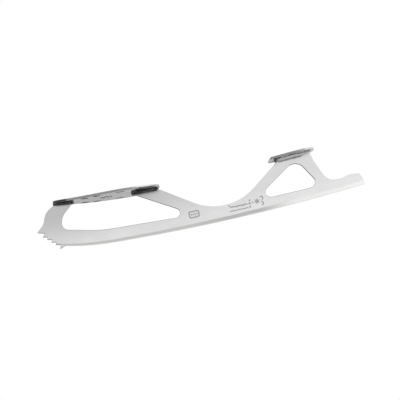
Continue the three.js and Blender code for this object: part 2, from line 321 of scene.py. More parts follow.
hook = [(-1.3, 3.0), (-1.0, 2.0), (-0.2, 1.0), (0.9, 0.25)]
stem = hook + [(1.6 + 1.5 * i, 0.1 + 0.28 * math.sin(1.5 * i)) for i in range(12)]
add_to_sprig(ribbon(stem, [0.8, 1.2] + [1.6 if i % 4 else 1.2 for i in range(len(stem) - 2)]))
leaf = ribbon([(0, 0), (0.5, 0.8), (0.7, 1.5), (0.5, 2.2)], [0.6, 1.8, 1.6, 0.5])
add_to_sprig(leaf, (20.3, 2.6), -0.3)
add_to_sprig(leaf, (20.6, -2.3), math.pi + 0.3)
add_to_sprig(snow_crystal(1.9, 0.9), (20.5, 0.2))
add_to_sprig(ribbon([(0, 0), (0.9, 0.2), (1.8, 0.4)], [1.1, 1.4, 1.0]), (22.8, 0.4))
add_to_sprig(snow_crystal(3.6, 1.6), (28.6, 0.9), 0.3)
for curl, shift in ((scroll(0.62, 2.4, 1.3, -1.5), (33.2, 3.4)), (scroll(-0.62, 2.2, 1.2, 1.9), (33, -2.6))):
    add_to_sprig(ribbon(curl, tapered(len(curl), 1.5, 0.6)), shift)
under = [(1.8 * i, 0.12 * math.sin(1.4 * i)) for i in range(12)]
add_to_sprig(ribbon(under, [1.1] * len(under)), (-1.2, -3.9))


def inward(loop, distances):
    """Each point of a closed loop moved to its left, into the metal, on a mitre."""
    moved = []
    for i, point in enumerate(loop):
        back, ahead = point - loop[i - 1], loop[(i + 1) % len(loop)] - point
        n0 = Vector((-back.y, back.x)).normalized()
        n1 = Vector((-ahead.y, ahead.x)).normalized()
        middle = (n0 + n1).normalized()
        moved.append(point + middle * distances[i] / max(0.42, middle.dot(n0)))
    return moved


def without_repeats(loop, least=0.05):
    kept = [loop[0]]
    for point in loop[1:]:
        if (point - kept[-1]).length > least:
            kept.append(point)
    if (kept[0] - kept[-1]).length <= least:
        kept.pop()
    return kept


def inside(point, loops):
    odd = False
    for loop in loops:
        for a, b in zip(loop, loop[1:] + loop[:1]):
            if (a.y > point.y) != (b.y > point.y):
                if point.x < a.x + (b.x - a.x) * (point.y - a.y) / (b.y - a.y):
                    odd = not odd
    return odd


def flat_faces(loops, loose=()):
    """Triangles that fill the space inside the first loop and outside the others."""
    points, edges = [], []
    for loop in loops:
        first = len(points)
        points += loop
        edges += [(first + i, first + (i + 1) % len(loop)) for i in range(len(loop))]
    points += [Vector(p) for p in loose]
    found, _, triangles, *_ = delaunay_2d_cdt(points, edges, [], 1, 1e-6)
    if len(found) > len(points):
        raise ValueError("two outlines of one face cross each other")
    kept = []
    for triangle in triangles:
        centre = sum((found[i] for i in triangle), Vector((0, 0))) / 3
        if inside(centre, loops):
            kept.append(tuple(triangle))
    return found, kept


class Shell:
    """Points in millimetres and faces with a finish each, gathered into one mesh."""

    def __init__(self):
        self.points = []
        self.faces = []
        self.finishes = []

    def add_points(self, points):
        first = len(self.points)
        self.points += [tuple(p) for p in points]
        return list(range(first, len(self.points)))

    def add_face(self, corners, finish):
        self.faces.append(tuple(corners))
        self.finishes.append(finish)

    def add_band(self, row, other, finish):
        """Quads between two closed rows of points."""
        for i in range(len(row)):
            j = (i + 1) % len(row)
            self.add_face((row[i], row[j], other[j], other[i]), finish)

    def piece(self, name, materials, sharp_angle):
        mesh = bpy.data.meshes.new(name)
        mesh.from_pydata([Vector(p) * MM for p in self.points], [], self.faces)
        for material in materials:
            mesh.materials.append(material)
        mesh.polygons.foreach_set("material_index", self.finishes)
        body = bmesh.new()
        body.from_mesh(mesh)
        bmesh.ops.remove_doubles(body, verts=body.verts, dist=1e-7)
        bmesh.ops.recalc_face_normals(body, faces=body.faces)
        body.to_mesh(mesh)
        body.free()
        mesh.shade_smooth()
        mesh.set_sharp_from_angle(angle=math.radians(sharp_angle))
        obj = bpy.data.objects.new(name, mesh)
        bpy.context.scene.collection.objects.link(obj)
        return obj


def linear(hex_colour):
    """A linear colour with alpha, from an sRGB hex string."""
    channels = [int(hex_colour[i:i + 2], 16) / 255 for i in (1, 3, 5)]
    return [c / 12.92 if c <= 0.04045 else ((c + 0.055) / 1.055) ** 2.4 for c in channels] + [1]


def add_node(tree, kind, inputs=None, **settings):
    """Adds one node; an input given as a socket is linked and anything else is set."""
    node = tree.nodes.new(kind)
    for name, value in settings.items():
        setattr(node, name, value)
    for name, value in (inputs or {}).items():
        if isinstance(value, bpy.types.NodeSocket):
            tree.links.new(value, node.inputs[name])
        else:
            node.inputs[name].default_value = value
    return node


def new_material(name):
    """A material with its tree, its Principled shader and its surface place in millimetres."""
    material = bpy.data.materials.new(name)
    material.use_nodes = True
    tree = material.node_tree
    shader = tree.nodes["Principled BSDF"]
    place = add_node(tree, "ShaderNodeTexCoord").outputs["Object"]
    place = add_node(tree, "ShaderNodeVectorMath", {0: place, 1: (1000, 1000, 1000)}, operation="MULTIPLY")
    return material, tree, shader, place.outputs[0]


def grain(tree, place, stretch, scale, detail=3, roughness=0.55):
    """Noise, 0 to 1, with a real size along each axis given by stretch and scale."""
    shaped = add_node(tree, "ShaderNodeVectorMath", {0: place, 1: stretch}, operation="MULTIPLY")
    settings = {"Vector": shaped.outputs[0], "Scale": scale, "Detail": detail, "Roughness": roughness}
    return add_node(tree, "ShaderNodeTexNoise", settings).outputs["Fac"]


def ranged(tree, value, low, high, out_low, out_high, smooth=False):
    inputs = {"Value": value, "From Min": low, "From Max": high, "To Min": out_low, "To Max": out_high}
    kind = "SMOOTHSTEP" if smooth else "LINEAR"
    return add_node(tree, "ShaderNodeMapRange", inputs, interpolation_type=kind).outputs[0]


def maths(tree, operation, a, b):
    return add_node(tree, "ShaderNodeMath", {0: a, 1: b}, operation=operation).outputs[0]


def blended(tree, factor, a, b):
    """Colour a where factor is 0 and b where it is 1."""
    node = add_node(tree, "ShaderNodeMix", data_type="RGBA")
    for socket, value in ((node.inputs[0], factor), (node.inputs[6], a), (node.inputs[7], b)):
        if isinstance(value, bpy.types.NodeSocket):
            tree.links.new(value, socket)
        else:
            socket.default_value = value
    return node.outputs[2]


def bumped(tree, shader, height, distance, strength=1.0):
    inputs = {"Height": height, "Distance": distance, "Strength": strength}
    bump = add_node(tree, "ShaderNodeBump", inputs)
    tree.links.new(bump.outputs[0], shader.inputs["Normal"])


# Chrome-plated carbon steel, brushed along the blade: a soft, slightly streaked silver.
# It is greyer higher up and towards the toe, less so towards the heel: painted shade.
# The band along the skating edge is bare steel ground across: duller, with a bright honed lip at the edge
# itself. It is darker in the middle of the blade and pale at the tail: painted reflection.
# The brush lines are drawn at 0.5 mm, about five times too coarse, so that they show.
runner_painted_shade_z = (4, 42)
runner_painted_shade_toe_x = (-120, -50)
runner_painted_shade_heel_x = (-20, 50)
band_dark_reflection_x = (-30, 40)
band_pale_reflection_x = (55, 100)
band_x, band_heights = (-145, 60), (2.3, 4.1)
band_softness = (0.5, 1.4)
lip_height = (0.2, 0.9)

brushed_chrome, tree, shader, place = new_material("brushed_chrome_plated_steel")
axes = add_node(tree, "ShaderNodeSeparateXYZ", {0: place})
along, up = axes.outputs[0], axes.outputs[2]
streaks = grain(tree, place, (0.03, 1, 1), 2.0)
clouds = grain(tree, place, (0.5, 1, 1), 0.06, 2)
side_colour = blended(tree, ranged(tree, clouds, 0.35, 0.65, 0, 1), linear("#e1e1e1"), linear("#e8e8e8"))
side_colour = blended(tree, ranged(tree, streaks, 0.3, 0.75, 0, 0.25), side_colour, linear("#cccccc"))
# painted shade: greyer higher up and towards the toe, less so towards the heel
runner_painted_shade = ranged(tree, up, *runner_painted_shade_z, 0, 1, True)
runner_painted_shade = maths(tree, "MULTIPLY", runner_painted_shade, ranged(tree, along, *runner_painted_shade_toe_x, 1, 0.8))
runner_painted_shade = maths(tree, "MULTIPLY", runner_painted_shade, ranged(tree, along, *runner_painted_shade_heel_x, 1, 0.45, True))
side_colour = blended(tree, runner_painted_shade, side_colour, linear("#c3c3c3"))
cross_lines = grain(tree, place, (1, 1, 0.12), 1.6)
# painted reflection: the band turns pale towards the tail, where its edge is also softer
band_pale_reflection_mask = ranged(tree, along, *band_pale_reflection_x, 0, 1, True)
crossed = ranged(tree, cross_lines, 0.25, 0.75, 0, 1)
band_colour = blended(tree, crossed, linear("#c0c0be"), linear("#cdcdcb"))
# painted reflection: the band is darker in the middle of the blade
band_dark_reflection_mask = ranged(tree, along, *band_dark_reflection_x, 0, 1, True)
band_colour = blended(tree, band_dark_reflection_mask, band_colour, linear("#bababa"))
band_colour = blended(tree, band_pale_reflection_mask, band_colour, linear("#e9e9e8"))
# Height above the edge line, which rises as the rocker does and faster in the spin arc
rocker_rise = maths(tree, "MULTIPLY", along, along)
rocker_rise = maths(tree, "DIVIDE", rocker_rise, 2 * rocker_radius)
into_spin = maths(tree, "SUBTRACT", tip_x + drag_pick_back + spin_length, along)
into_spin = maths(tree, "MAXIMUM", into_spin, 0)
spin_rise = maths(tree, "MULTIPLY", into_spin, into_spin)
spin_rise = maths(tree, "MULTIPLY", spin_rise, 0.5 / spin_radius - 0.5 / rocker_radius)
above_edge = maths(tree, "SUBTRACT", up, rocker_rise)
above_edge = maths(tree, "SUBTRACT", above_edge, spin_rise)
wander = ranged(tree, grain(tree, place, (1, 0, 0), 0.05, 2), 0.3, 0.7, -0.25, 0.25)
above_edge = maths(tree, "ADD", above_edge, wander)
band_edge = maths(tree, "SUBTRACT", above_edge, ranged(tree, along, *band_x, *band_heights))
band_edge = maths(tree, "DIVIDE", band_edge, ranged(tree, band_pale_reflection_mask, 0, 1, *band_softness))
in_band = ranged(tree, band_edge, -1, 1, 1, 0, True)
in_lip = ranged(tree, above_edge, *lip_height, 0.6, 0)
band_colour = blended(tree, in_lip, band_colour, linear("#e2e2e1"))
tree.links.new(blended(tree, in_band, side_colour, band_colour), shader.inputs["Base Color"])
shine = ranged(tree, streaks, 0.25, 0.75, 0.19, 0.27)
shine = maths(tree, "ADD", shine, maths(tree, "MULTIPLY", in_band, 0.08))
tree.links.new(shine, shader.inputs["Roughness"])
shader.inputs["Metallic"].default_value = 1
relief = maths(tree, "MULTIPLY", streaks, maths(tree, "SUBTRACT", 1.0, in_band))
relief = maths(tree, "ADD", relief, maths(tree, "MULTIPLY", cross_lines, in_band))
bumped(tree, shader, relief, 0.00003, 0.3)

# Laser-cut and tumbled steel under thin chrome: the cut edges are darker, with fine lines across.
cut_steel, tree, shader, place = new_material("cut_steel_edge")
lines = grain(tree, place, (1, 0.1, 1), 1.4)
colour = blended(tree, ranged(tree, lines, 0.3, 0.7, 0, 1), linear("#6f6f6e"), linear("#8b8b89"))
tree.links.new(colour, shader.inputs["Base Color"])
tree.links.new(ranged(tree, lines, 0.3, 0.7, 0.32, 0.46), shader.inputs["Roughness"])
shader.inputs["Metallic"].default_value = 1
bumped(tree, shader, lines, 0.00004, 0.5)

# Laser-engraved steel: matt grey with a fine burnt grain.
engraved_steel, tree, shader, place = new_material("laser_engraved_steel")
burn = grain(tree, place, (1, 1, 1), 3.5)
colour = blended(tree, ranged(tree, burn, 0.3, 0.7, 0, 1), linear("#a2a2a2"), linear("#b8b8b8"))
tree.links.new(colour, shader.inputs["Base Color"])
tree.links.new(ranged(tree, burn, 0.3, 0.7, 0.5, 0.65), shader.inputs["Roughness"])
shader.inputs["Metallic"].default_value = 1

SIDE, CUT, ENGRAVED = 0, 1, 2

# Where the outline runs about this way, its broken edge faces down and forward, and is given the dark
# cut-edge finish as painted shade
shaded_edge_direction = Vector((0.87, -0.5))
shaded_edge_limit = 0.6


def runner_piece():
    shell = Shell()
    outline = without_repeats(edge_line + shape_line[1:] + pick_line)
    edge_count = len(without_repeats(edge_line))
    across = [i / 4 for i in range(-4, 5)]
    side_loops = {1: [], -1: []}
    for loop, ground in ((outline, edge_count), (without_repeats(window_line), 0)):
        breaks = [honed_break if i < ground else edge_break for i in range(len(loop))]
        rows = []
        for share in across:
            half = [runner_half - b for b in breaks]
            depths = []
            for i in range(len(loop)):
                y = share * runner_half
                full = math.sqrt(hollow_radius**2 - y**2) - math.sqrt(hollow_radius**2 - runner_half**2)
                fade = min(1, i / 3, (ground - 1 - i) / 3) if i < ground else 0
                depths.append(full * max(0, fade))
            moved = inward(loop, depths)
            rows.append(shell.add_points([(p.x, share * h, p.y) for p, h in zip(moved, half)]))
        for row, other in zip(rows, rows[1:]):
            for i in range(len(loop)):
                j = (i + 1) % len(loop)
                finish = SIDE if i < ground - 1 else CUT
                shell.add_face((row[i], row[j], other[j], other[i]), finish)
        inner = inward(loop, breaks)
        for side, row in ((-1, rows[0]), (1, rows[-1])):
            side_loops[side].append(inner)
            corner_row = shell.add_points([(p.x, side * runner_half, p.y) for p in inner])
            for i in range(len(loop)):
                j = (i + 1) % len(loop)
                along = (loop[j] - loop[i]).normalized()
                # broken edges that face down and forward get the dark finish as painted shade
                finish = CUT if i >= ground and along.dot(shaded_edge_direction) > shaded_edge_limit else SIDE
                shell.add_face((row[i], row[j], corner_row[j], corner_row[i]), finish)
    # flat sides; the one that faces -Y has the engraved signs sunk into it
    rings = [island for _, islands in marks for island in islands]
    marked = side_loops[-1] + [outer for outer, _ in marks if not inside(outer[0], rings)]
    found, triangles = flat_faces(marked)
    ids = shell.add_points([(p.x, -runner_half, p.y) for p in found])
    for triangle in triangles:
        shell.add_face([ids[i] for i in triangle], SIDE)
    found, triangles = flat_faces(side_loops[1])
    ids = shell.add_points([(p.x, runner_half, p.y) for p in found])
    for triangle in triangles:
        shell.add_face([ids[i] for i in triangle], SIDE)
    floor_y = -runner_half + engraving_depth
    for outer, islands in marks:
        found, triangles = flat_faces([outer] + islands)
        ids = shell.add_points([(p.x, floor_y, p.y) for p in found])
        for triangle in triangles:
            shell.add_face([ids[i] for i in triangle], ENGRAVED)
        for loop in [outer] + islands:
            rims = [shell.add_points([(p.x, y, p.y) for p in loop]) for y in (-runner_half, floor_y)]
            shell.add_band(*rims, ENGRAVED)
        for island in islands:
            holes = [other for other, _ in marks if other is not outer and inside(other[0], [island])]
            found, triangles = flat_faces([island] + holes)
            ids = shell.add_points([(p.x, -runner_half, p.y) for p in found])
            for triangle in triangles:
                shell.add_face([ids[i] for i in triangle], SIDE)
    return shell.piece("runner_blade", [brushed_chrome, cut_steel, engraved_steel], 20)


runner = runner_piece()
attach(runner, "root")
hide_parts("runner")


# ---------------------------------------------------------------------------
# Sole plate: steel sheet 2.4 mm thick, sheared to the outline of a boot sole and pressed so
# that it rises at the toe. Its underside is polished chrome, its top, which the boot hides,
# is satin. Countersunk holes and slots take the screws into the sole.

screw_radius = 2.3
sink_radius = 4.2
sink_depth = 1.7
slot_length = 9
slot_radius = 2.2
deburr = 0.22


def bezier(a, b, c, d, count=18):
    points = []
    for i in range(count + 1):
        t = i / count
        weights = ((1 - t)**3, 3 * t * (1 - t)**2, 3 * t**2 * (1 - t), t**3)
        points.append(sum((Vector(p) * w for p, w in zip((a, b, c, d), weights)), Vector((0, 0))))
    return points


def half_width_at(side, x):
    for a, b in zip(side, side[1:]):
        if a.x <= x <= b.x and b.x > a.x:
            return a.y + (b.y - a.y) * (x - a.x) / (b.x - a.x)
    return 0


def hole_loop(place, radius, half_length=0, count=32):
    """A hole or slot seen from above, run clockwise so that the metal is on its left."""
    points = []
    for i in range(count):
        angle = -2 * math.pi * (i + 0.5) / count
        shift = half_length if math.cos(angle) > 0 else -half_length
        x = place[0] + shift + radius * math.cos(angle)
        points.append(Vector((x, place[1] + radius * math.sin(angle))))
    return points


def spread_points(loops, x_range, step, keep_off=1.3):
    """A grid of loose points inside the loops, so that a curved face bends smoothly."""
    edge_points = [p for loop in loops for p in loop]
    low, high = min(p.y for p in loops[0]), max(p.y for p in loops[0])
    points = []
    for i in range(int((x_range[1] - x_range[0]) / step[0]) + 1):
        for j in range(int((high - low) / step[1]) + 1):
            point = Vector((x_range[0] + i * step[0], low + (j + 0.5) * step[1]))
            if inside(point, loops) and min((point - q).length for q in edge_points) > keep_off:
                points.append(point)
    return points


POLISHED, SHEARED, SATIN, STAMPED, BORED = range(5)


def plate_piece(name, side, top, thickness, holes, slots, stamps, bend_range, materials):
    """A plate from one edge of its outline; holes and slots are (x, inset) pairs."""
    shell = Shell()
    near_half = [Vector((p.x, -p.y)) for p in side]
    far_half = [Vector((p.x, p.y)) for p in side[::-1]]
    outline = without_repeats(near_half + far_half)
    # each rim is a few rings of (inset, depth): the sheared one is rolled over at the top
    edge_rings = ((0.55, 0), (0.22, 0.12), (0.04, 0.42),
                  (0, thickness - 0.5), (0.07, thickness - 0.15), (0.3, thickness))
    flare = sink_radius - screw_radius
    sink_rings = ((deburr, 0), (0, deburr), (0, thickness - sink_depth),
                  (flare - 0.12, thickness - 0.14), (flare + 0.1, thickness))
    slot_rings = ((deburr, 0), (0, deburr), (0, thickness - deburr), (deburr, thickness))
    loops = [(outline, edge_rings, SHEARED)]
    half_slot = slot_length / 2 - slot_radius
    for pairs, radius, half_length, rings in ((holes, screw_radius, 0, sink_rings),
                                              (slots, slot_radius, half_slot, slot_rings)):
        for x, inset in pairs:
            y = half_width_at(side, x) - inset
            loops += [(hole_loop((x, y * sign), radius, half_length), rings, BORED) for sign in (1, -1)]
    tops, bottoms = [], []
    for loop, rings, finish in loops:
        rows = []
        for inset, depth in rings:
            moved = inward(loop, [inset] * len(loop))
            rows.append(shell.add_points([(p.x, p.y, top(p.x) - depth) for p in moved]))
            if depth == 0:
                tops.append(moved)
            if depth == thickness:
                bottoms.append(moved)
        for i, (row, other) in enumerate(zip(rows, rows[1:])):
            lowest_of_rim = finish == SHEARED and i == len(rings) - 2
            shell.add_band(row, other, POLISHED if lowest_of_rim else finish)
    for face_loops, depth, finish, signs in ((tops, 0, SATIN, []), (bottoms, thickness, POLISHED, stamps)):
        all_loops = face_loops + signs
        found, triangles = flat_faces(all_loops, spread_points(all_loops, bend_range, (3.5, 7)))
        ids = shell.add_points([(p.x, p.y, top(p.x) - depth) for p in found])
        for triangle in triangles:
            shell.add_face([ids[i] for i in triangle], finish)
    for sign in stamps:
        found, triangles = flat_faces([sign])
        sunk = thickness - engraving_depth
        ids = shell.add_points([(p.x, p.y, top(p.x) - sunk) for p in found])
        for triangle in triangles:
            shell.add_face([ids[i] for i in triangle], STAMPED)
        rims = [shell.add_points([(p.x, p.y, top(p.x) - d) for p in sign]) for d in (thickness, sunk)]
        shell.add_band(*rims, STAMPED)
    return shell.piece(name, materials, 24)


# Polished chrome plate: a near mirror, slightly clouded by handling, with a few hair scratches.
# It is paler at the rear end of the heel plate: painted light.
polished_chrome, tree, shader, place = new_material("polished_chrome_plate")
smears = grain(tree, place, (0.35, 1, 1), 0.12, 4, 0.6)
hairs = grain(tree, place, (0.05, 1, 1), 1.8, 2)
colour = blended(tree, ranged(tree, smears, 0.3, 0.7, 0, 1), linear("#98989b"), linear("#a8a8ac"))
axes = add_node(tree, "ShaderNodeSeparateXYZ", {0: place})
# painted light: paler at the rear end of the heel plate
heel_end_painted_light = ranged(tree, axes.outputs[0], heel_rear_x - 15, heel_rear_x - 10, 0, 1, True)
colour = blended(tree, heel_end_painted_light, colour, linear("#dededf"))
tree.links.new(colour, shader.inputs["Base Color"])
tree.links.new(ranged(tree, smears, 0.3, 0.7, 0.05, 0.12), shader.inputs["Roughness"])
shader.inputs["Metallic"].default_value = 1
bumped(tree, shader, hairs, 0.00001, 0.35)

# Sheared steel with a thin plate on it: darker than the faces, with short drag lines down it.
# It is paler from the ball cup back, has painted light at the rear end of the heel, painted shade over the
# toe cup and a painted shadow along its lower edge above the ball cup.
paler_rear_x = (-70, -61)
ball_cup_shadow_from_x, ball_cup_shadow_to_x = (-68, -60), (-47, -42)
lower_edge_depth = (1.0, 1.7)

sheared_steel, tree, shader, place = new_material("sheared_steel_edge")
drags = grain(tree, place, (1, 1, 0.15), 1.3)
axes = add_node(tree, "ShaderNodeSeparateXYZ", {0: place})
along, up = axes.outputs[0], axes.outputs[2]
colour = blended(tree, ranged(tree, drags, 0.3, 0.7, 0, 1), linear("#8a8a8b"), linear("#a6a6a7"))
# paler from the ball cup back
colour = blended(tree, ranged(tree, along, *paler_rear_x, 0, 1, True), colour, linear("#c2c2c3"))
under_heel = ranged(tree, along, heel_front_x - 10, heel_front_x, 0, 1)
# painted light: the heel's edge turns pale at its rear end
heel_edge_painted_light = ranged(tree, along, heel_rear_x - 13, heel_rear_x - 5, 0, 1, True)
heel_shade = blended(tree, heel_edge_painted_light, linear("#939394"), linear("#d6d6d6"))
colour = blended(tree, under_heel, colour, heel_shade)
top_here = maths(tree, "MULTIPLY", along, -sole_pitch)
top_here = maths(tree, "ADD", top_here, sole_height + sole_pitch * sole_rear_x)
lower_edge = ranged(tree, maths(tree, "SUBTRACT", top_here, up), *lower_edge_depth, 0, 1)
# painted shadow along the lower edge above the ball cup, where the cup meets the plate
ball_cup_shadow = ranged(tree, along, *ball_cup_shadow_from_x, 0, 1)
ball_cup_shadow = maths(tree, "MULTIPLY", ball_cup_shadow, ranged(tree, along, *ball_cup_shadow_to_x, 1, 0))
colour = blended(tree, maths(tree, "MULTIPLY", ball_cup_shadow, lower_edge), colour, linear("#3e3e3f"))
# painted shade over the toe cup
toe_cup_painted_shade = ranged(tree, along, sole_front_x + 12, sole_front_x + 17, 1, 0, True)
colour = blended(tree, toe_cup_painted_shade, colour, linear("#4a4a4b"))
tree.links.new(colour, shader.inputs["Base Color"])
tree.links.new(ranged(tree, drags, 0.3, 0.7, 0.28, 0.42), shader.inputs["Roughness"])
shader.inputs["Metallic"].default_value = 1
bumped(tree, shader, drags, 0.00004, 0.5)

# Satin chrome: the brushed, unpolished side of the plating, soft grey with lines along the plate.
satin_chrome, tree, shader, place = new_material("satin_chrome_plate")
brush = grain(tree, place, (0.03, 1, 1), 1.6)
cloud = grain(tree, place, (1, 1, 1), 0.07, 2)
colour = blended(tree, ranged(tree, cloud, 0.35, 0.65, 0, 1), linear("#b9babb"), linear("#c9c9ca"))
tree.links.new(colour, shader.inputs["Base Color"])
tree.links.new(ranged(tree, brush, 0.25, 0.75, 0.32, 0.46), shader.inputs["Roughness"])
shader.inputs["Metallic"].default_value = 1
bumped(tree, shader, brush, 0.00003, 0.6)

# Drilled steel, where the plating hardly reaches: dark, with rings left by the drill.
bored_steel, tree, shader, place = new_material("drilled_steel")
rings = grain(tree, place, (0.1, 0.1, 1), 2.2, 2)
colour = blended(tree, ranged(tree, rings, 0.3, 0.7, 0, 1), linear("#3c3c3e"), linear("#58585a"))
tree.links.new(colour, shader.inputs["Base Color"])
tree.links.new(ranged(tree, rings, 0.3, 0.7, 0.3, 0.45), shader.inputs["Roughness"])
shader.inputs["Metallic"].default_value = 1
bumped(tree, shader, rings, 0.00004, 0.5)

# A rolled stamp on the underside: sunk, matt and dark.
stamped_steel, tree, shader, place = new_material("stamped_steel")
pits = grain(tree, place, (1, 1, 1), 2.5)
colour = blended(tree, ranged(tree, pits, 0.3, 0.7, 0, 1), linear("#2c2c2e"), linear("#474748"))
tree.links.new(colour, shader.inputs["Base Color"])
tree.links.new(ranged(tree, pits, 0.3, 0.7, 0.35, 0.5), shader.inputs["Roughness"])
shader.inputs["Metallic"].default_value = 1
bumped(tree, shader, pits, 0.00006, 0.5)

plate_finishes = [polished_chrome, sheared_steel, satin_chrome, stamped_steel, bored_steel]

sole_half = sole_high.y
sole_toe_half = 6
sole_rear_half = 19
sole_ball_x = sole_rear_x - 37.4
sole_shoulder = (sole_front_x + 9, sole_toe_half + 9)
sole_side = bezier((sole_front_x, sole_toe_half * 0.6), (sole_front_x, sole_toe_half),
                   (sole_front_x + 3, sole_toe_half + 5.5), sole_shoulder, 10)
sole_side += bezier(sole_shoulder, (sole_front_x + 24, sole_toe_half + 17),
                    (sole_ball_x - 22, sole_half), (sole_ball_x, sole_half), 30)[1:]
sole_side += bezier((sole_ball_x, sole_half), (sole_ball_x + 18, sole_half),
                    (sole_rear_x - 1, sole_rear_half + 10), (sole_rear_x, sole_rear_half), 24)[1:]

# Four leaning lozenges stamped side by side under the plate, a plain ornament
stamp_place = Vector((sole_front_x + 54.8, -2))
stamp_half = 1.5
stamps = []
for shift, reach, lean in ((-4.2, 8, 0.12), (-1.2, 11, 0.12), (2.2, 11, -0.1), (5.4, 7, -0.1)):
    lozenge = [(0, -reach), (stamp_half, 0), (0, reach), (-stamp_half, 0)]
    stamps.append(turned(lozenge, stamp_place + Vector((shift, 0)), lean))
sole_plate = plate_piece(
    "sole_plate_sheet", sole_side, sole_top, sole_thickness,
    holes=[(sole_front_x + 33, 7.5), (sole_front_x + 45.5, 7), (sole_rear_x - 12.4, 10)],
    slots=[(sole_rear_x - 41.4, 8.3)],
    stamps=stamps,
    bend_range=(sole_front_x + 2, sole_front_x + toe_spring_length + 2),
    materials=plate_finishes,
)
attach(sole_plate, "root")
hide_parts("sole_plate")


# ---------------------------------------------------------------------------
# Heel plate: the same sheet and finish, flat, with a straight front edge and a rounded rear
# that follows the boot's heel. It is drilled and slotted like the sole plate.

heel_half = heel_high.y
heel_front_half = 18.5
heel_widest_x = heel_front_x + 24.7
heel_side = filleted_line([
    (heel_front_x, 1),
    (heel_front_x, heel_front_half, 3),
    (heel_widest_x, heel_half),
])
heel_side += bezier((heel_widest_x, heel_half), (heel_widest_x + 20, heel_half),
                    (heel_rear_x, heel_half - 6), (heel_rear_x, 1), 30)[1:]
heel_plate = plate_piece(
    "heel_plate_sheet", heel_side, heel_top, heel_thickness,
    holes=[(heel_front_x + 7.2, 6), (heel_rear_x - 8.9, 6.4)],
    slots=[(heel_front_x + 23.2, 6.4)],
    stamps=[],
    bend_range=(heel_front_x + 4, heel_rear_x - 4),
    materials=plate_finishes,
)
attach(heel_plate, "root")
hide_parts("heel_plate")


# ---------------------------------------------------------------------------
# Cups: three boat-shaped steel blocks under the plates, slotted for the stanchions.
# The two under the sole are coloured almost black, a painted dark reflection on their plating; the one under
# the heel is bare and paler.
# Each is brazed to its plate, which leaves no more than a hairline between them.

flank_inset = 1.5
cup_break = 0.22

# Polished plating coloured nearly black as a painted dark reflection, with paler streaks along it that are
# painted highlights.
chrome_painted_dark, tree, shader, place = new_material("chrome_with_painted_dark_reflection")
# the paler streaks are painted highlights
highlight_streaks = grain(tree, place, (0.14, 0.6, 1), 0.8, 3, 0.6)
# painted dark reflection, with paler painted highlight streaks
colour = blended(tree, ranged(tree, highlight_streaks, 0.52, 0.72, 0, 1), linear("#343536"), linear("#66676a"))
tree.links.new(colour, shader.inputs["Base Color"])
tree.links.new(ranged(tree, highlight_streaks, 0.3, 0.7, 0.16, 0.3), shader.inputs["Roughness"])
shader.inputs["Metallic"].default_value = 1
bumped(tree, shader, highlight_streaks, 0.00003, 0.4)

# Polished steel, with painted shade that darkens it at the front end.
steel_with_painted_front_shade, tree, shader, place = new_material("polished_steel_with_painted_front_shade")
axes = add_node(tree, "ShaderNodeSeparateXYZ", {0: place})
blots = grain(tree, place, (0.3, 1, 1), 0.5, 3)
# painted shade at the front end of the heel cup
heel_cup_front_shade = maths(tree, "ADD", axes.outputs[0], ranged(tree, blots, 0.3, 0.7, -2, 2))
heel_cup_front_shade = ranged(tree, heel_cup_front_shade, heel_cup["x0"] + 1, heel_cup["x0"] + 5, 1, 0, True)
colour = blended(tree, ranged(tree, blots, 0.35, 0.65, 0, 1), linear("#a9aaac"), linear("#c3c4c6"))
colour = blended(tree, heel_cup_front_shade, colour, linear("#4c4c4e"))
tree.links.new(colour, shader.inputs["Base Color"])
tree.links.new(ranged(tree, blots, 0.3, 0.7, 0.18, 0.3), shader.inputs["Roughness"])
shader.inputs["Metallic"].default_value = 1
bumped(tree, shader, blots, 0.00003, 0.4)


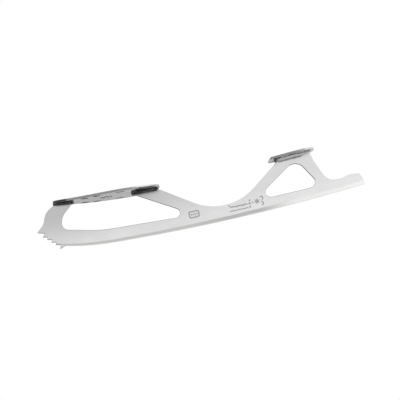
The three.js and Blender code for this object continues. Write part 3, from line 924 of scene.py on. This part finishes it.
def cup_piece(name, cup, material):
    body = bmesh.new()
    x0, x1 = cup["x0"], cup["x1"]
    front, rear, inset = cup["noses"][0], cup["noses"][1], flank_inset
    stations = (
        (x0, cup["halves"][0], x0 + inset / 2, cup["halves"][0] - inset / 2),
        (x0 + front, cup["halves"][1], x0 + front + inset / 3, cup["halves"][1] - inset),
        (x1 - rear, cup["halves"][1], x1 - rear - inset / 3, cup["halves"][1] - inset),
        (x1, cup["halves"][2], x1 - inset / 2, cup["halves"][2] - inset / 2),
    )
    for x, half, rim_x, rim_half in stations:
        for side in (1, -1):
            body.verts.new(Vector((x, side * half, seat_of(cup, x))) * MM)
            body.verts.new(Vector((rim_x, side * rim_half, rim_of(cup, rim_x))) * MM)
    bmesh.ops.convex_hull(body, input=body.verts)
    bmesh.ops.dissolve_limit(body, angle_limit=math.radians(2), verts=body.verts, edges=body.edges)
    mesh = bpy.data.meshes.new(name)
    body.to_mesh(mesh)
    body.free()
    mesh.materials.append(material)
    obj = bpy.data.objects.new(name, mesh)
    bpy.context.scene.collection.objects.link(obj)
    cutter_mesh = bpy.data.meshes.new(name + "_cutter")
    cutter_body = bmesh.new()
    bmesh.ops.create_cube(cutter_body, size=1)
    length = cup["slot_x"][1] - cup["slot_x"][0]
    size = Vector((length, 2 * (runner_half + fit_gap), 6 * cup["heights"][0])) * MM
    middle = (x0 + x1) / 2
    place = Vector((sum(cup["slot_x"]) / 2, 0, seat_of(cup, middle))) * MM
    cutter_body.transform(Matrix.Translation(place) @ Matrix.Diagonal((*size, 1)))
    cutter_body.to_mesh(cutter_mesh)
    cutter_body.free()
    cutter = bpy.data.objects.new(name + "_cutter", cutter_mesh)
    bpy.context.scene.collection.objects.link(cutter)
    slot = obj.modifiers.new("slot", "BOOLEAN")
    slot.object = cutter
    slot.operation = "DIFFERENCE"
    slot.solver = "EXACT"
    edges = obj.modifiers.new("broken_edges", "BEVEL")
    edges.width = cup_break * MM
    edges.segments = 3
    edges.limit_method = "ANGLE"
    edges.angle_limit = math.radians(18)
    edges.harden_normals = True
    bpy.context.view_layer.update()
    cut = bpy.data.meshes.new_from_object(obj.evaluated_get(bpy.context.evaluated_depsgraph_get()))
    obj.modifiers.clear()
    obj.data = cut
    bpy.data.objects.remove(cutter)
    cut.shade_smooth()
    cut.set_sharp_from_angle(angle=math.radians(35))
    return obj


for place_name, cup in cups.items():
    finish = steel_with_painted_front_shade if place_name == "heel" else chrome_painted_dark
    piece = cup_piece(place_name + "_cup_block", cup, finish)
    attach(piece, "root")
    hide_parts(place_name + "_cup")


# ---------------------------------------------------------------------------
# Braze: silver-bronze filler drawn by heat into the corner between each cup and the runner.
# It lies as a small hollow fillet, a little wavy, on both sides of the three stanchions.

fillet_leg = 0.95
fillet_end_margin = 2.2
fillet_step = 0.6
wave_size = 0.28
wave_pull = 0.35
random.seed(7)

# Silver braze, left as it set: pale, warm and slightly rippled.
silver_braze, tree, shader, place = new_material("silver_braze")
ripples = grain(tree, place, (1, 1, 1), 0.9, 3)
colour = blended(tree, ranged(tree, ripples, 0.3, 0.7, 0, 1), linear("#888683"), linear("#a9a7a3"))
tree.links.new(colour, shader.inputs["Base Color"])
tree.links.new(ranged(tree, ripples, 0.3, 0.7, 0.25, 0.45), shader.inputs["Roughness"])
shader.inputs["Metallic"].default_value = 1
bumped(tree, shader, ripples, 0.00008, 0.5)


def fillet_piece(name, cup, side):
    """A hollow fillet along a cup's rim, that also fills the gap beside the runner."""
    shell = Shell()
    start, end = cup["tang_x"][0] + fillet_end_margin, cup["tang_x"][1] - fillet_end_margin
    count = int((end - start) / fillet_step)
    rows = []
    wave = 1
    for i in range(count + 1):
        x = start + (end - start) * i / count
        wave += (1 + random.uniform(-wave_size, wave_size) - wave) * wave_pull
        taper = min(1, 0.25 + 0.5 * min(i, count - i))
        leg = fillet_leg * wave * taper
        rim = rim_of(cup, x)
        wall = runner_half
        corner = wall + fit_gap
        section = [(wall, rim + 0.5), (wall, rim - leg)]
        for j in range(1, 6):
            angle = math.pi / 2 * j / 6
            section.append((wall + leg * (1 - math.cos(angle)), rim - leg * (1 - math.sin(angle))))
        section += [(corner + leg, rim - 0.02), (corner + leg * 0.6, rim)]
        section += [(corner, rim + 0.1), (corner, rim + 0.5)]
        rows.append(shell.add_points([(x, side * y, z) for y, z in section]))
    for row, other in zip(rows, rows[1:]):
        shell.add_band(row, other, 0)
    shell.add_face(rows[0], 0)
    shell.add_face(rows[-1], 0)
    return shell.piece(name, [silver_braze], 50)


# In the names of the beads left is +Y, though the blade's own left side faces -Y
for place_name, cup in cups.items():
    for side_name, side in (("left", 1), ("right", -1)):
        fillet = fillet_piece(f"{place_name}_fillet_{side_name}", cup, side)
        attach(fillet, "root")
        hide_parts(f"{place_name}_braze_{side_name}")


# ---------------------------------------------------------------------------
# Studio: a pale floor well below the blade, a soft white room and one large soft light.
# The camera is 2 m away, a little below the blade, and leans so that the heel rises.

floor_mesh = bpy.data.meshes.new("floor")
floor_half, floor_z = 4, -0.42
floor_mesh.from_pydata(
    [(-floor_half, -floor_half, floor_z), (floor_half, -floor_half, floor_z),
     (floor_half, floor_half, floor_z), (-floor_half, floor_half, floor_z)], [], [(0, 1, 2, 3)])
floor = bpy.data.objects.new("floor", floor_mesh)
bpy.context.scene.collection.objects.link(floor)

# Matt white paper: an even pale sheet with a faint tooth.
paper, tree, shader, place = new_material("matt_white_paper")
tooth = grain(tree, place, (1, 1, 1), 0.02, 2)
colour = blended(tree, tooth, linear("#e6e6e4"), linear("#ecebe9"))
tree.links.new(colour, shader.inputs["Base Color"])
shader.inputs["Roughness"].default_value = 0.9
floor_mesh.materials.append(paper)

world = bpy.data.worlds.new("soft_room")
bpy.context.scene.world = world
world.use_nodes = True
tree = world.node_tree
background = tree.nodes["Background"]
direction = add_node(tree, "ShaderNodeTexCoord").outputs["Generated"]
axes = add_node(tree, "ShaderNodeSeparateXYZ", {0: direction})
height = ranged(tree, axes.outputs[2], -0.16, 0.06, 0.42, 1, True)
across_room = ranged(tree, axes.outputs[0], -0.3, 0.3, 0.9, 1.06)
level = maths(tree, "MULTIPLY", height, across_room)
seen = add_node(tree, "ShaderNodeLightPath").outputs["Is Camera Ray"]
level = maths(tree, "MAXIMUM", level, seen)
tree.links.new(level, background.inputs["Strength"])
background.inputs["Color"].default_value = (1, 1, 1, 1)


def soft_light(name, place, target, size, power):
    lamp = bpy.data.lights.new(name, "AREA")
    lamp.shape = "RECTANGLE"
    lamp.size, lamp.size_y = size
    lamp.energy = power
    obj = bpy.data.objects.new(name, lamp)
    obj.location = place
    obj.rotation_euler = (Vector(target) - Vector(place)).to_track_quat("-Z", "Y").to_euler()
    bpy.context.scene.collection.objects.link(obj)


soft_light("tail_softbox", (0.95, -1.15, 0.35), (0.12, 0, 0.03), (0.9, 0.7), 2.8)

target = Vector((0, 0, 0.0266))
camera_distance = 2.0
azimuth, elevation, lean = math.radians(3.605), math.radians(5.645), math.radians(12.355)
looking = Vector((
    math.sin(azimuth) * math.cos(elevation),
    math.cos(azimuth) * math.cos(elevation),
    math.sin(elevation),
))
camera_data = bpy.data.cameras.new("camera")
camera_data.sensor_width = 36
camera_data.lens = 172.44
camera_data.clip_start = 0.05
camera = bpy.data.objects.new("camera", camera_data)
camera.rotation_mode = "QUATERNION"
camera.location = target - looking * camera_distance
camera.rotation_quaternion = looking.to_track_quat("-Z", "Y") @ Quaternion((0, 0, 1), -lean)
bpy.context.scene.collection.objects.link(camera)
bpy.context.scene.camera = camera
bpy.context.scene.view_settings.view_transform = "Standard"
